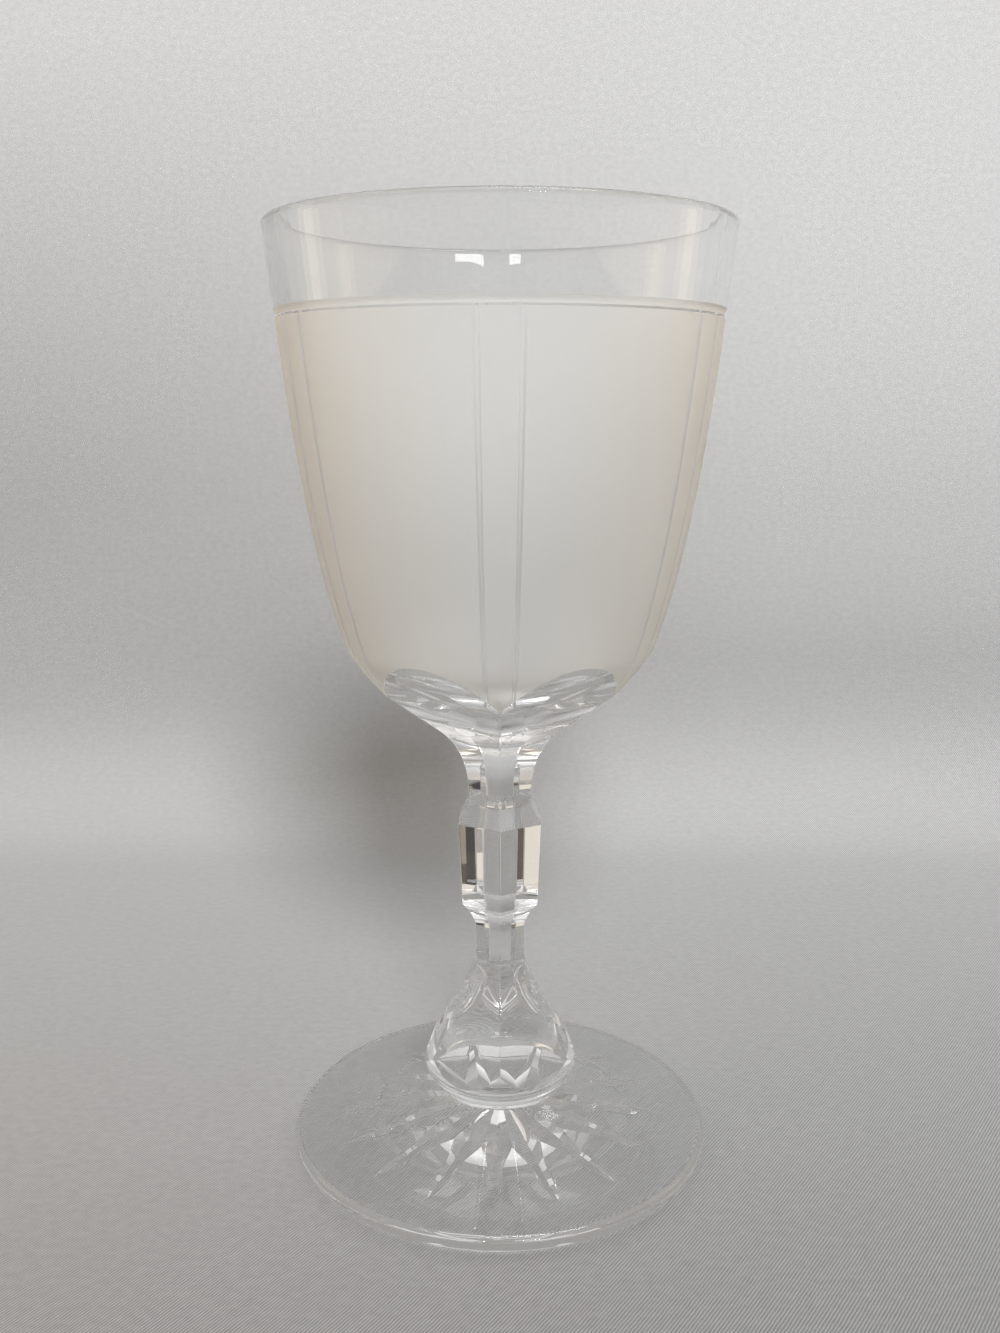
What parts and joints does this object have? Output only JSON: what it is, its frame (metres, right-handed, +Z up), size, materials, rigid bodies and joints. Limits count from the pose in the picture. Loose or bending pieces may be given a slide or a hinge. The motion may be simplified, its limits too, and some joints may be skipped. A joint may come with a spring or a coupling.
{
  "type": "wine goblet",
  "caption": "Stemmed wine goblet of cut glass: satin bowl with upright lines under a clear rim band, faceted stem with a block and a bell knop, foot with a star cut underneath.",
  "frame": {"origin": "centre of the foot's underside, at the height of the ring that the goblet rests on", "axes": "+Z up along the goblet's axis, towards the rim; -Y towards the arris of the stem that faces the viewer; +X to the viewer's right"},
  "size_m": [0.076, 0.076, 0.16],
  "materials": {
    "glass": "polished, with a satin ground bowl"
  },
  "bodies": {
    "root": {"goblet": "glass"}
  },
  "joints": []
}
